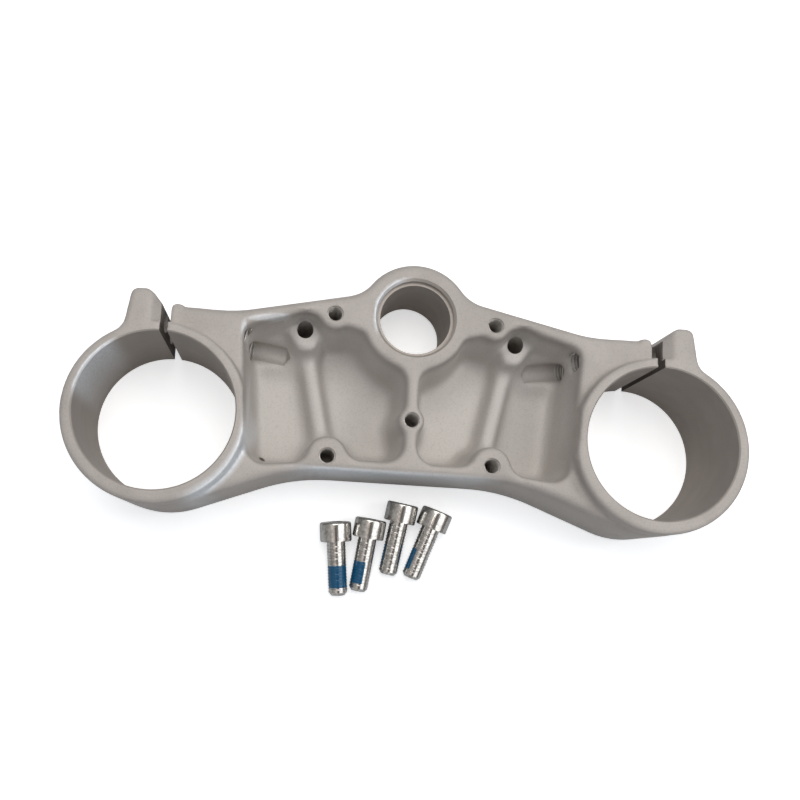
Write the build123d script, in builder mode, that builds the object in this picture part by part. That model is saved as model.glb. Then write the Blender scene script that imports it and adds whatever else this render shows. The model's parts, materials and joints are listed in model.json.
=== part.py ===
"""Lower triple clamp of a motorcycle fork, with its four pinch bolts.

The clamp lies with its pocketed underside up. The origin is on the stem bore's axis, on the plane that the
clamp lies on. X runs across the two forks, -Y points to the fork side and Z is up. All sizes are in mm.
"""
from build123d import *
from math import acos, atan2, cos, degrees, hypot, radians, sin, tan
import os

# Interfaces
fork_spacing = 194.2
stem_offset = 44.4
fork_bore = 60.0
stem_bore = 28.0
fender_pitch_x = 63.6
fender_pitch_y = 56.1
fender_far_offset = 0.8
centre_hole_offset = 41.0
fender_thread = 6.0
fender_depth = 18.0

# Heights
clamp_height = 40.0
collar_rise = 5.5
floor_height = 8.0
rib_height = 15.0
shelf_height = 22.0

# Beam between the forks
boss_wall = 8.3
boss_blend = 15.0
front_offset = 62.4
front_flat = 29.0
front_sweep = 78.0
far_edge_rise = 13.5
far_edge_slope = 12.5
far_edge_offset = 3.1
far_blend = 80.0
body_edge = 3.0
base_edge = 1.5

# Fork rings and the shoulders in front of them
ring_wall = 4.5
ring_forward = 0.7
ring_edge = 1.4
collar_foot = 1.5
shoulder_wall = 4.7
shoulder_inboard = 1.5
shoulder_forward = 0.9

# Pinch lugs
slit_inboard = 0.8
slit_width = 3.0
slit_corner = 1.4
pinch_angle = 8.0
pinch_offset = 7.1
pinch_spacing = 15.0
lug_length = 14.2
lug_rise = 5.1
lug_run = 4.2
lug_flat = 14.0
lug_corner = 3.0
lug_root = 7.0
slope_inboard = 5.8
slope_outboard = 5.7
slope_knee = 0.7
slope_knee_rise = 1.1
slope_blend = 10.0
slope_crest = 4.0
tapped_length = 46.2
seat_depth = 3.0

# Pinch bolts
bolt_thread = 8.0
bolt_clearance = 0.5
bolt_length = 22.0
head_diameter = 13.0
head_height = 8.0
head_edge = 0.9
tip_chamfer = 1.2
hex_size = 6.0
hex_depth = 4.0
seat_clearance = 1.0

# Pockets
pocket_fork_wall = 3.3
pocket_tilt = 5.2
pocket_far_wall = 4.8
pocket_far_slope = 14.7
pocket_front_wall = 4.6
pocket_front_run = 26.0
pocket_front_drop = 4.5
pocket_web = 4.8
pocket_corner = 7.5
pocket_far_corner = 5.0
pocket_blend = 4.0
land_blend = 7.0
pocket_taper = 5.5
pocket_foot = 4.2
pocket_rim = 1.8
stem_land = 7.0
far_hole_land = 2.8
near_hole_land = 4.6
centre_hole_land = 2.0

# Rib, shelf and ramp in each pocket
deep_hole_x = 43.1
deep_hole_offset = 4.5
deep_hole_diameter = 6.6
rib_width = 4.6
rib_aside = 0.7
rib_draft = 12.0
rib_edge = 1.0
rib_foot = 3.0
shelf_nose = 6.2
shelf_shift = 1.0
shelf_reach = 8.0
shelf_inner_flare = 17.0
shelf_outer_flare = 34.0
shelf_corner = 2.5
shelf_edge = 1.5
shelf_draft = 15.0
ramp_height = 17.0
ramp_start = 1.5
ramp_run = 16.0
ramp_foot = 2.0

# Stem bore steps and small edges
stem_step = 1.2
stem_step_depth = 2.5
stem_relief = 1.6
stem_relief_depth = 4.5
stem_chamfer = 0.9
bore_chamfer = 0.4
hole_chamfer = 0.6

# Where each bolt lies: the plan place of its head's top and the turn of its axis
bolt_1_x = -25.8
bolt_1_y = -80.0
bolt_1_turn = -84.1
bolt_2_x = -11.0
bolt_2_y = -77.9
bolt_2_turn = -97.3
bolt_3_x = 2.0
bolt_3_y = -70.7
bolt_3_turn = -99.5
bolt_4_x = 16.6
bolt_4_y = -72.9
bolt_4_turn = -109.4

# How near two places are taken as one when edges are picked
tolerance = 0.01

# Values that follow from the sizes above
face_height = clamp_height - collar_rise
fork_x = fork_spacing / 2
fork_y = -stem_offset
fork_radius = fork_bore / 2
stem_radius = stem_bore / 2
boss_radius = stem_radius + boss_wall
ring_y = fork_y - ring_forward
ring_radius = fork_radius + ring_wall
shoulder_x = fork_x - shoulder_inboard
shoulder_y = fork_y - shoulder_forward
shoulder_radius = fork_radius + shoulder_wall
front_y = -front_offset
far_y = -far_edge_offset
slit_x = fork_x - slit_inboard
slope_x = slit_x - slope_inboard
lug_x = slit_x + lug_run
lug_far_y = far_y + lug_rise
fender_x = fender_pitch_x / 2
fender_far_y = -fender_far_offset
fender_near_y = fender_far_y - fender_pitch_y
fender_radius = fender_thread / 2
deep_hole_y = -deep_hole_offset
rib_run = deep_hole_y - fender_near_y
rib_turn = atan2(deep_hole_x - fender_x - rib_aside, rib_run)
rib_length = rib_run / cos(rib_turn) - fender_radius
pinch_y = -pinch_offset
pinch_turn = radians(pinch_angle)
pinch_heights = (clamp_height / 2 - pinch_spacing / 2, clamp_height / 2 + pinch_spacing / 2)


def far_line(x):
    """Far side of the beam at this distance from the stem, on its straight part."""
    return far_edge_rise - x * tan(radians(far_edge_slope))


def fork_side(y):
    """Side of the pocket that faces the fork bore, at the face."""
    return fork_x - fork_radius - pocket_fork_wall + (y - fork_y) * tan(radians(pocket_tilt))


def lug_line(x):
    """Far edge that leads from the beam out to the lug, across the slit."""
    return far_y + lug_rise * min(1, (x - slope_x) / (lug_x - slope_x))


def on_pinch(out, across=0.0):
    """Plan point this far outboard of the slit along the pinch axis and this far to the far side of it."""
    return (slit_x + out * cos(pinch_turn) - across * sin(pinch_turn),
            pinch_y + out * sin(pinch_turn) + across * cos(pinch_turn))


def beam_plan():
    """Plan of the right half of the beam: stem boss, swept front edge, shoulder and far edge."""
    run = shoulder_x - front_flat
    drop = shoulder_y - (front_y - front_sweep)
    sweep = atan2(run, drop) - acos((front_sweep + shoulder_radius) / hypot(run, drop))
    bend = (front_flat + front_sweep * sin(sweep), front_y - front_sweep * (1 - cos(sweep)))
    touch = (shoulder_x - shoulder_radius * sin(sweep), shoulder_y - shoulder_radius * cos(sweep))
    turn_x = (far_edge_rise - far_y) / tan(radians(far_edge_slope))
    with BuildSketch() as plan:
        with BuildLine():
            Line((0, front_y), (front_flat, front_y))
            TangentArc((front_flat, front_y), bend, tangent=(1, 0))
            Polyline(bend, touch, (shoulder_x, shoulder_y), (fork_x, shoulder_y), (fork_x, far_y),
                     (turn_x, far_y), (0, far_edge_rise), (0, front_y))
        make_face()
        fillet(plan.vertices().sort_by_distance((turn_x, far_y))[0], far_blend)
        with Locations((shoulder_x, shoulder_y)):
            Circle(shoulder_radius)
        Circle(boss_radius)
        corner = plan.vertices().filter_by(lambda v: abs(hypot(v.X, v.Y) - boss_radius) < tolerance and v.X > 0)
        fillet(corner, boss_blend)
        with Locations((-boss_radius, 0)):
            Rectangle(2 * boss_radius, 2 * front_offset, mode=Mode.SUBTRACT)
    return plan.sketch


def ring_plan():
    """Plan of the right fork ring with its pinch lug."""
    with BuildSketch() as plan:
        far_corner = on_pinch(lug_length, (lug_far_y - on_pinch(lug_length)[1]) / cos(pinch_turn))
        with BuildLine():
            Polyline((slope_x, ring_y), (slope_x, far_y), (lug_x, lug_far_y), far_corner,
                     on_pinch(lug_length, -lug_flat), (fork_x, ring_y), close=True)
        make_face()
        fillet(plan.vertices().sort_by_distance(far_corner)[0], lug_corner)
        with Locations((fork_x, ring_y)):
            Circle(ring_radius)
        root = plan.vertices().filter_by(lambda v: v.X > fork_x + lug_corner and v.Y < pinch_y)
        fillet(root, lug_root)
    return plan.sketch


def pocket_plan():
    """Rim of the right pocket at the face, cut back by a land round each hole and round the stem bore."""
    web_x = pocket_web / 2
    near_y = front_y + pocket_front_wall
    low_y = near_y - pocket_front_drop
    high_y = far_y - pocket_far_wall
    far_corner = (fork_side(high_y), high_y)
    low_corner = (fork_side(low_y), low_y)
    peak = (deep_hole_x, far_line(deep_hole_x) - pocket_far_wall)
    stem_corner = (web_x, peak[1] - (deep_hole_x - web_x) * tan(radians(pocket_far_slope)))
    near_hole = (fender_x, fender_near_y)
    web_corner = (web_x, -stem_radius - stem_land)
    with BuildSketch() as plan:
        with BuildLine():
            Polyline(far_corner, peak, stem_corner, (web_x, near_y), (pocket_front_run, near_y), low_corner,
                     close=True)
        make_face()
        for corner, radius in ((far_corner, pocket_far_corner), (peak, pocket_far_corner),
                               (low_corner, pocket_corner), ((web_x, near_y), pocket_corner)):
            fillet(plan.vertices().sort_by_distance(corner)[0], radius)
        smooth = plan.vertices()
        Circle(stem_radius + stem_land, mode=Mode.SUBTRACT)
        with Locations((fender_x, fender_far_y)):
            Circle(fender_radius + far_hole_land, mode=Mode.SUBTRACT)
        with Locations(near_hole):
            Circle(fender_radius + near_hole_land, mode=Mode.SUBTRACT)
        with Locations((0, -centre_hole_offset)):
            Circle(fender_radius + centre_hole_land, mode=Mode.SUBTRACT)
        sharp = plan.vertices().filter_by(lambda v: smooth.sort_by_distance(v)[0].distance_to(v) > tolerance)
        wide = sharp.sort_by_distance(near_hole)[:2] + sharp.sort_by_distance(web_corner)[:1]
        for vertex in sharp:
            radius = land_blend if vertex in wide else pocket_blend
            fillet(plan.vertices().sort_by_distance(vertex)[0], radius)
    return plan.sketch


def slit_plan():
    """Plan of the slit through the right ring, with a rounded corner on either side of its mouth."""
    left = slit_x - slit_width / 2
    right = slit_x + slit_width / 2
    mouth = 2 * slit_corner
    with BuildSketch() as plan:
        with BuildLine():
            Polyline((left, fork_y), (left, lug_line(left)), (left - mouth, lug_line(left - mouth)),
                     (left - mouth, lug_far_y + mouth), (right + mouth, lug_far_y + mouth),
                     (right + mouth, lug_line(right + mouth)), (right, lug_line(right)), (right, fork_y), close=True)
        make_face()
        for corner in ((left, lug_line(left)), (right, lug_line(right))):
            fillet(plan.vertices().sort_by_distance(corner)[0], slit_corner)
    return plan.sketch


# Rib from the deep hole to the near tapped hole
with BuildPart() as rib:
    with BuildSketch(Plane.XY.offset(rib_height)):
        with Locations(Location((deep_hole_x, deep_hole_y, 0), (0, 0, -90 - degrees(rib_turn)))):
            Rectangle(rib_length, rib_width, align=(Align.MIN, Align.CENTER))
    extrude(amount=-rib_height, taper=-rib_draft)
    fillet(rib.edges().group_by(Axis.Z)[-1], rib_edge)

# Shelf round the deep hole: it widens from its nose over the rib to the far wall, and runs into that wall
with BuildPart() as shelf:
    nose_y = deep_hole_y - shelf_reach
    back_y = far_y + pocket_far_wall
    nose_left = deep_hole_x - shelf_shift - shelf_nose / 2
    nose_right = nose_left + shelf_nose
    back_left = nose_left - (back_y - nose_y) * tan(radians(shelf_inner_flare))
    back_right = nose_right + (back_y - nose_y) * tan(radians(shelf_outer_flare))
    with BuildSketch(Plane.XY.offset(shelf_height)) as shelf_plan:
        with BuildLine():
            Polyline((back_left, back_y), (nose_left, nose_y), (nose_right, nose_y), (back_right, back_y),
                     close=True)
        make_face()
        fillet(shelf_plan.vertices().group_by(Axis.Y)[0], shelf_corner)
    extrude(amount=-shelf_height, taper=-shelf_draft)
    fillet(shelf.edges().group_by(Axis.Z)[-1].sort_by(Axis.Y)[:-1], shelf_edge)

# Ramp from the shelf down to the floor, on the fork side of the rib
with BuildPart() as ramp:
    top_y = deep_hole_y - ramp_start
    end_y = top_y - ramp_run
    with BuildSketch(Plane.YZ.offset(deep_hole_x)):
        with BuildLine():
            Polyline((-deep_hole_y, ramp_height), (top_y, ramp_height), (end_y, floor_height), (end_y, 0),
                     (-deep_hole_y, 0), close=True)
        make_face()
    extrude(amount=fork_x - fork_radius - deep_hole_x)

# Right pocket, as the solid that is taken out of the beam
with BuildPart() as pocket:
    with BuildSketch(Plane.XY.offset(face_height)):
        add(pocket_plan())
    extrude(amount=floor_height - face_height, taper=pocket_taper)
    fillet(pocket.edges().group_by(Axis.Z)[0], pocket_foot)
    for form in (rib, shelf, ramp):
        add(form.part, mode=Mode.SUBTRACT)
    rib_middle_x = deep_hole_x - rib_length / 2 * sin(rib_turn)
    rib_middle = (rib_middle_x, deep_hole_y - rib_length / 2, floor_height)
    feet = pocket.edges().filter_by_position(Axis.Z, floor_height - tolerance, floor_height + tolerance)
    fillet(feet.sort_by_distance(rib_middle)[:2], rib_foot)
    feet = pocket.edges().filter_by_position(Axis.Z, floor_height - tolerance, floor_height + tolerance)
    fillet(feet.filter_by(Axis.X).sort_by(Axis.Y)[-1], ramp_foot)

# Concave foot round the collar, on the flat of the face only
with BuildPart() as foot:
    section = Plane(origin=(fork_x, ring_y, face_height), x_dir=(1, 0, 0), z_dir=(0, -1, 0))
    with BuildSketch(section):
        with BuildLine():
            Polyline((ring_radius, collar_foot), (ring_radius - collar_foot, collar_foot),
                     (ring_radius - collar_foot, -collar_foot), (ring_radius + collar_foot, -collar_foot),
                     (ring_radius + collar_foot, 0))
            RadiusArc((ring_radius + collar_foot, 0), (ring_radius, collar_foot), collar_foot)
        make_face()
    revolve(axis=Axis((fork_x, ring_y, 0), (0, 0, 1)))
    with BuildSketch(Plane.XY.offset(face_height - collar_foot)):
        add(beam_plan())
        offset(amount=-body_edge, mode=Mode.REPLACE)
        with BuildSketch(mode=Mode.SUBTRACT):
            add(pocket_plan())
            offset(amount=pocket_rim, mode=Mode.REPLACE)
    extrude(amount=2 * collar_foot, mode=Mode.INTERSECT)

# Space over the slope that rises from the face to the lug's top, across the slit and outside the collar
with BuildPart() as slope:
    with BuildSketch(Plane.XZ.offset(-lug_far_y - lug_rise)) as profile:
        knee = (slit_x + slope_knee, face_height + slope_knee_rise)
        crest = (slit_x + slope_outboard, clamp_height)
        end_x = crest[0] + slope_crest
        with BuildLine():
            Polyline((slope_x, face_height), knee, crest, (end_x, clamp_height),
                     (end_x, clamp_height + collar_rise), (slope_x, clamp_height + collar_rise), close=True)
        make_face()
        fillet(profile.vertices().sort_by_distance(knee)[0], slope_blend)
        fillet(profile.vertices().sort_by_distance(crest)[0], slope_crest)
    extrude(amount=lug_far_y + lug_rise - fork_y)
    with BuildSketch(Plane.XY.offset(face_height)):
        with Locations((fork_x, ring_y)):
            Circle(ring_radius)
    extrude(amount=2 * collar_rise, mode=Mode.SUBTRACT)

# Right fork ring with its lug, full height, open to the pocket
with BuildPart() as ring:
    add(ring_plan())
    extrude(amount=clamp_height)
    outer = ring.edges().filter_by(lambda e: e.center().X > slit_x - slit_width or e.center().Y < fork_y)
    fillet(outer.group_by(Axis.Z)[0], base_edge)
    outer = ring.edges().filter_by(lambda e: e.center().X > slit_x - slit_width or e.center().Y < fork_y)
    fillet(outer.group_by(Axis.Z)[-1], ring_edge)
    add(slope.part, mode=Mode.SUBTRACT)
    add(pocket.part, mode=Mode.SUBTRACT)
    with BuildSketch(Plane.XY.offset(face_height)):
        add(pocket_plan())
    extrude(amount=collar_rise, mode=Mode.SUBTRACT)

# Right half of the clamp, mirrored once its own holes are cut, then the features on the middle plane
with BuildPart() as clamp_body:
    add(beam_plan())
    extrude(amount=face_height)
    outer = clamp_body.edges().filter_by(lambda e: e.center().X > tolerance)
    fillet(outer.group_by(Axis.Z)[-1], body_edge)
    outer = clamp_body.edges().filter_by(lambda e: e.center().X > tolerance)
    fillet(outer.group_by(Axis.Z)[0], base_edge)
    add(pocket.part, mode=Mode.SUBTRACT)
    rim = clamp_body.edges().filter_by_position(Axis.Z, face_height, face_height)
    fillet(rim.sort_by_distance((fender_x, -centre_hole_offset, face_height))[0:1], pocket_rim)
    add(ring.part)
    add(foot.part)

    # Fork bore and slit
    with BuildSketch() as bore:
        with Locations((fork_x, fork_y)):
            Circle(fork_radius)
        add(slit_plan())
    extrude(amount=clamp_height, mode=Mode.SUBTRACT)

    # Pinch holes: tapped in the beam, clearance and seat in the lug
    for height in pinch_heights:
        axis = Plane(origin=(slit_x, pinch_y, height), z_dir=(cos(pinch_turn), sin(pinch_turn), 0))
        with BuildSketch(axis):
            Circle(bolt_thread / 2)
        extrude(amount=-tapped_length, mode=Mode.SUBTRACT)
        with BuildSketch(axis):
            Circle((bolt_thread + bolt_clearance) / 2)
        extrude(amount=lug_length, mode=Mode.SUBTRACT)
        with BuildSketch(axis.offset(lug_length - seat_depth)):
            Circle((head_diameter + seat_clearance) / 2)
        extrude(amount=head_height, mode=Mode.SUBTRACT)

    # Deep hole and the tapped holes of the fender
    with BuildSketch(Plane.XY.offset(shelf_height)):
        with Locations((deep_hole_x, deep_hole_y)):
            Circle(deep_hole_diameter / 2)
    extrude(amount=-shelf_height, mode=Mode.SUBTRACT)
    with Locations((fender_x, fender_far_y, face_height), (fender_x, fender_near_y, face_height)):
        Hole(fender_radius, depth=fender_depth)
    mirror(about=Plane.YZ)

    # Stem bore with its step and relief, and the tapped hole in the middle
    with Locations((0, 0, face_height)):
        Hole(stem_radius)
        Hole(stem_radius + stem_step, depth=stem_step_depth)
    with Locations((0, 0, 0)):
        Hole(stem_radius + stem_relief, depth=stem_relief_depth)
    with Locations((0, -centre_hole_offset, face_height)):
        Hole(fender_radius, depth=fender_depth)

    # Chamfers of the machined mouths
    circles = clamp_body.edges().filter_by(GeomType.CIRCLE)
    mouths = circles.filter_by_position(Axis.Z, face_height, face_height)
    chamfer(mouths.filter_by(lambda e: abs(e.radius - stem_radius - stem_step) < tolerance), stem_chamfer)
    circles = clamp_body.edges().filter_by(GeomType.CIRCLE)
    mouths = circles.filter_by_position(Axis.Z, face_height, face_height)
    chamfer(mouths.filter_by(lambda e: abs(e.radius - fender_radius) < tolerance), hole_chamfer)
    circles = clamp_body.edges().filter_by(GeomType.CIRCLE)
    mouths = circles.filter_by_position(Axis.Z, clamp_height, clamp_height)
    chamfer(mouths.filter_by(lambda e: abs(e.radius - fork_radius) < tolerance), bore_chamfer)


def pinch_bolt(x, y, turn):
    """Socket head cap screw that lies on the rim of its head and the end of its shank."""
    head_radius = head_diameter / 2
    shank_radius = bolt_thread / 2
    tilt = atan2(head_radius - shank_radius, bolt_length - tip_chamfer)
    rise = head_height * sin(tilt) + head_radius * cos(tilt)
    heading = radians(turn)
    top = Plane(origin=(x, y, rise), x_dir=(-sin(heading), cos(heading), 0),
                z_dir=(cos(heading) * cos(tilt), sin(heading) * cos(tilt), -sin(tilt)))
    with BuildPart() as bolt:
        with BuildSketch(top):
            Circle(head_radius)
        extrude(amount=head_height)
        with BuildSketch(top.offset(head_height)):
            Circle(shank_radius)
        extrude(amount=bolt_length)
        rims = bolt.edges().filter_by(GeomType.CIRCLE)
        fillet(rims.sort_by_distance(top.origin)[0], head_edge)
        rims = bolt.edges().filter_by(GeomType.CIRCLE)
        chamfer(rims.sort_by_distance(top.origin)[-1], tip_chamfer)
        with BuildSketch(top):
            RegularPolygon(hex_size / 2, 6, major_radius=False)
        extrude(amount=hex_depth, mode=Mode.SUBTRACT)
    return bolt.part


os.makedirs("parts", exist_ok=True)
clamp_body.part.label = "clamp_body"
export_step(clamp_body.part, "parts/clamp_body.step")
places = ((bolt_1_x, bolt_1_y, bolt_1_turn), (bolt_2_x, bolt_2_y, bolt_2_turn),
          (bolt_3_x, bolt_3_y, bolt_3_turn), (bolt_4_x, bolt_4_y, bolt_4_turn))
for number, place in enumerate(places, 1):
    bolt = pinch_bolt(*place)
    bolt.label = f"pinch_bolt_{number}"
    export_step(bolt, f"parts/pinch_bolt_{number}.step")
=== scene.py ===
"""Look of a motorcycle's lower triple clamp and its four loose pinch screws, laid out as an add-on."""

import json
from math import atan2, cos, pi, radians, sin

import bmesh
import bpy
import numpy as np
from bpy.props import FloatProperty, FloatVectorProperty, IntProperty, PointerProperty
from mathutils import Matrix, Vector


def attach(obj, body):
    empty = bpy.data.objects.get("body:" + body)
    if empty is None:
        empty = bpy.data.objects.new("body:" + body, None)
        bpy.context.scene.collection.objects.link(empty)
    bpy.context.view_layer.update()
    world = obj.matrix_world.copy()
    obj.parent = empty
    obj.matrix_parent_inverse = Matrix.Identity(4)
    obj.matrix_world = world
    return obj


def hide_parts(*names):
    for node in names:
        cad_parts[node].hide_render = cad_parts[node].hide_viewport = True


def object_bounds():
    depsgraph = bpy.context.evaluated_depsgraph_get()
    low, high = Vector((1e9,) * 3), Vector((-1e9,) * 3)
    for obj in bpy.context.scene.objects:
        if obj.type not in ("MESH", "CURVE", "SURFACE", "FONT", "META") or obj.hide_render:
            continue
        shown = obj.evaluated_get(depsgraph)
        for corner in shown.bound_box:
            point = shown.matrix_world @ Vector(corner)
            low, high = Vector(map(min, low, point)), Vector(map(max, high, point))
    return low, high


bl_info = {
    "name": "Triple clamp look",
    "version": (1, 0, 0),
    "blender": (4, 5, 0),
    "location": "3D View > Sidebar > Triple clamp",
    "description": "Softens the cast clamp, cuts its holes, and makes its threads, screws and stage",
    "category": "Object",
}

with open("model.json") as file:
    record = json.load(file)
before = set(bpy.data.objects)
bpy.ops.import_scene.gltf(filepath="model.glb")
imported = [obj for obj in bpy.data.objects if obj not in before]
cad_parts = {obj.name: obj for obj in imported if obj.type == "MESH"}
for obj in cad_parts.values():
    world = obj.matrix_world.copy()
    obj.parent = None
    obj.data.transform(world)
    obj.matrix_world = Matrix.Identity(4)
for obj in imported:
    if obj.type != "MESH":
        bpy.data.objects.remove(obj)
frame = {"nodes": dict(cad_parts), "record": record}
CAD_BOX = [list(corner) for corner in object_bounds()]
MM = 0.001
SIDES = (-1, 1)
ORIGIN = (0, 0, 0)
UP = (0, 0, 1)
MOUNTS = {mount["name"]: mount for mount in frame["record"]["mounts"]}


def mount_size(name, key):
    """A size of one of the record's mounts, in metres."""
    return MOUNTS[name]["dims"][key] * MM


FORK_X, FORK_Y = MOUNTS["fork_clamp_right"]["pos_m"][:2]
FORK_RADIUS = mount_size("fork_clamp_right", "r_mm")
STEM_RADIUS = mount_size("stem_bore", "r_mm")
FACE_HOLE_RADIUS = mount_size("fender_holes", "hole_r_mm")
DEEP_HOLE_RADIUS = mount_size("deep_holes", "hole_r_mm")

# How far a tool passes the surface that it cuts, and how far a plug is wider than the hole that it fills
OVER = 0.002
PLUG_ROOM = 0.0001

# How much shorter a screw is than its solid, and how far it lies above the bed, so that it stays in its box
TIP_ROOM = 0.00001
BED_ROOM = 0.000002

# Where the edges of a slit begin, just inside the bore's wall
SLIT_START_Y = FORK_Y + FORK_RADIUS - 0.0021

# Plan place of each screw's head in mm, and the turns of its axis and of its blue patch in degrees
SCREW_PLACES = (
    (-25.8, -80.0, -84.1, 0.0),
    (-11.0, -77.9, -97.3, 76.0),
    (2.0, -70.7, -99.5, 149.0),
    (16.6, -72.9, -109.4, 125.0),
)

# Bands of light that the metal mirrors, from the left (0) over the top (0.5) to the right (1)
BANDS = (
    (0.0, (0.15, 0.14, 0.13, 1)),
    (0.28, (0.24, 0.23, 0.22, 1)),
    (0.36, (0.40, 0.37, 0.35, 1)),
    (0.43, (0.30, 0.26, 0.235, 1)),
    (0.48, (0.05, 0.043, 0.036, 1)),
    (0.57, (0.07, 0.06, 0.05, 1)),
    (0.63, (1.0, 1.0, 1.0, 1)),
    (0.80, (1.0, 1.0, 1.0, 1)),
    (0.87, (0.18, 0.15, 0.135, 1)),
    (1.0, (0.04, 0.035, 0.03, 1)),
)


def length(name, description, default):
    """A length in metres that is shown in the scene's units."""
    return FloatProperty(name=name, description=description, default=default, unit="LENGTH", precision=5)


def angle(name, description, degrees):
    """An angle whose default is given in degrees."""
    return FloatProperty(name=name, description=description, default=radians(degrees), subtype="ANGLE")


def count(name, description, default):
    """A whole number from 0 up."""
    return IntProperty(name=name, description=description, default=default, min=0)


def amount(name, description, default):
    """A plain number from 0 up, such as a power or a strength."""
    return FloatProperty(name=name, description=description, default=default, min=0.0)


def colour(name, description, default):
    """A colour with alpha."""
    return FloatVectorProperty(name=name, description=description, default=default, subtype="COLOR", size=4,
                               min=0.0, max=1.0)


class CastingSettings(bpy.types.PropertyGroup):
    """Sizes and colours of the clamp's casting and of its machined holes."""

    cell: length("Cell", "Grid cell that the casting is softened on", 0.0006)
    passes: count("Passes", "Softening passes over the whole casting", 5)
    pocket_passes: count("Pocket passes", "Further softening passes inside the pockets", 90)
    triangles: count("Triangles", "How many triangles the softened casting keeps", 150000)
    height: length("Height", "Height of the fork collars", 0.040)
    face: length("Face", "Height of the flat face round the pockets", 0.0345)
    bore_chamfer: length("Bore chamfer", "Chamfer at the mouth of each fork bore", 0.0005)
    stem_step: length("Stem step", "Radius of the step at the mouth of the stem bore", 0.0152)
    stem_step_depth: length("Stem step depth", "Depth of the step at the mouth of the stem bore", 0.0025)
    stem_chamfer: length("Stem chamfer", "Chamfer at the mouth of the stem bore", 0.0009)
    hole_chamfer: length("Hole chamfer", "Chamfer at the mouth of each tapped hole", 0.0003)
    hole_depth: length("Hole depth", "Depth of each tapped hole in the face", 0.018)
    shelf: length("Shelf", "Height of the shelf round each deep hole", 0.022)
    slit: length("Slit", "Width of the slit through each collar", 0.003)
    slit_inboard: length("Slit inboard", "How far the slit lies inboard of the fork bore's axis", 0.0008)
    pinch_angle: angle("Pinch angle", "Turn of the pinch holes in plan", 8)
    pinch_offset: length("Pinch offset", "How far before the stem a pinch hole crosses the slit", 0.0071)
    pinch_spacing: length("Pinch spacing", "Distance between the two pinch holes of a collar", 0.015)
    tapped_radius: length("Tapped radius", "Radius of the tapped part of a pinch hole", 0.004)
    clear_radius: length("Clear radius", "Radius of the clearance part of a pinch hole", 0.00425)
    seat_radius: length("Seat radius", "Radius of the seat under a screw's head", 0.007)
    tapped_length: length("Tapped length", "Length of the tapped part of a pinch hole", 0.0462)
    lug_length: length("Lug length", "Distance from the slit to the outer face of the lug", 0.0142)
    seat_depth: length("Seat depth", "Depth of the seat under a screw's head", 0.003)
    rib_top: length("Rib top", "Half the width of the rib's top in each pocket", 0.0031)
    rib_height: length("Rib height", "Height of the rib in each pocket", 0.015)
    floor: length("Floor", "Height of the pocket's floor", 0.008)
    far_edge_shift: length("Far edge shift", "How far the far edge beside the lugs is drawn out", 0.0012)
    lug_corner_shift: length("Lug corner shift", "How far the lug's inner far corner is drawn in", 0.0032)
    hole_room: length("Hole room", "How far the wall behind each deep hole is drawn back", 0.0014)
    crisp: angle("Crisp", "Angle from which an edge is shaded as a sharp one", 34)
    # Painted light: a paler tone low in the pockets stands in for the light that fills them
    painted_pocket_light: colour("Pocket tone", "Paler tone inside the pockets", (0.575, 0.54, 0.505, 1.0))
    cast_light: colour("Light tone", "Lighter tone of the blasted metal", (0.475, 0.433, 0.398, 1.0))
    cast_dark: colour("Dark tone", "Darker tone of the blasted metal", (0.41, 0.372, 0.34, 1.0))
    bore_tone: colour("Bore tone", "Tone of the machined bores", (0.44, 0.395, 0.355, 1.0))
    # Painted shade: a near black tone for the walls of the narrow slits, where shade falls
    slit_shade_tone: colour("Slit tone", "Tone of the sawn walls of the slits", (0.10, 0.085, 0.072, 1.0))
    # Painted highlight: the bluish-white tone of the highlights painted along rims and edges
    highlight_tone: colour("Polish tone", "Tone of the rubbed bright places", (0.80, 0.83, 0.86, 1.0))
    stain_tone: colour("Stain tone", "Tone of the small stains", (0.09, 0.07, 0.055, 1.0))
    grain: length("Grain", "Size of the blasted metal's grain", 0.0007)


class ThreadSettings(bpy.types.PropertyGroup):
    """Sizes and tone of the threads in the tapped holes."""

    pinch_pitch: length("Pinch pitch", "Pitch of the threads in the pinch holes", 0.00125)
    face_pitch: length("Face pitch", "Pitch of the threads in the holes of the face", 0.001)
    ridge: length("Ridge", "Half the height of a thread's ridge", 0.0003)
    start: length("Start", "Distance from the slit to the first thread of a pinch hole", 0.0035)
    pinch_length: length("Pinch length", "Length of the thread in a pinch hole", 0.029)
    # Partly painted light: paler than the casting, so that the threads show inside the unlit holes
    tone: colour("Thread tone", "Tone of the cut threads", (0.62, 0.59, 0.55, 1.0))


class ScrewSettings(bpy.types.PropertyGroup):
    """Sizes and colours of the pinch screws."""

    head_radius: length("Head radius", "Radius of the head over its ribs", 0.0065)
    head_height: length("Head height", "Height of the head", 0.008)
    head_edge: length("Head edge", "Rounding of the head's top edge", 0.0009)
    ribs: count("Ribs", "Number of ribs round the head", 52)
    rib_height: length("Rib height", "How far the ribs stand out from the head", 0.000012)
    hexagon: length("Hexagon", "Width of the hexagonal socket across its flats", 0.006)
    hexagon_depth: length("Hexagon depth", "Depth of the hexagonal socket", 0.004)
    shank_radius: length("Shank radius", "Radius of the shank over its thread", 0.004)
    shank_length: length("Shank length", "Length of the shank", 0.022)
    pitch: length("Pitch", "Pitch of the shank's thread", 0.00125)
    ridge: length("Ridge", "Half the height of the shank's thread ridge", 0.0002)
    tip_chamfer: length("Tip chamfer", "Chamfer at the end of the shank", 0.0012)
    patch_start: length("Patch start", "Distance from the head's top to the thread lock patch", 0.0178)
    patch_end: length("Patch end", "Distance from the head's top to the patch's far end", 0.0268)
    patch_spread: angle("Patch spread", "Half the angle that the patch covers", 88)
    crisp: angle("Crisp", "Angle from which an edge is shaded as a sharp one", 30)
    steel: colour("Steel", "Tone of the plated steel", (0.62, 0.61, 0.59, 1.0))
    patch: colour("Patch", "Colour of the thread lock patch", (0.006, 0.10, 0.21, 1.0))


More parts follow.
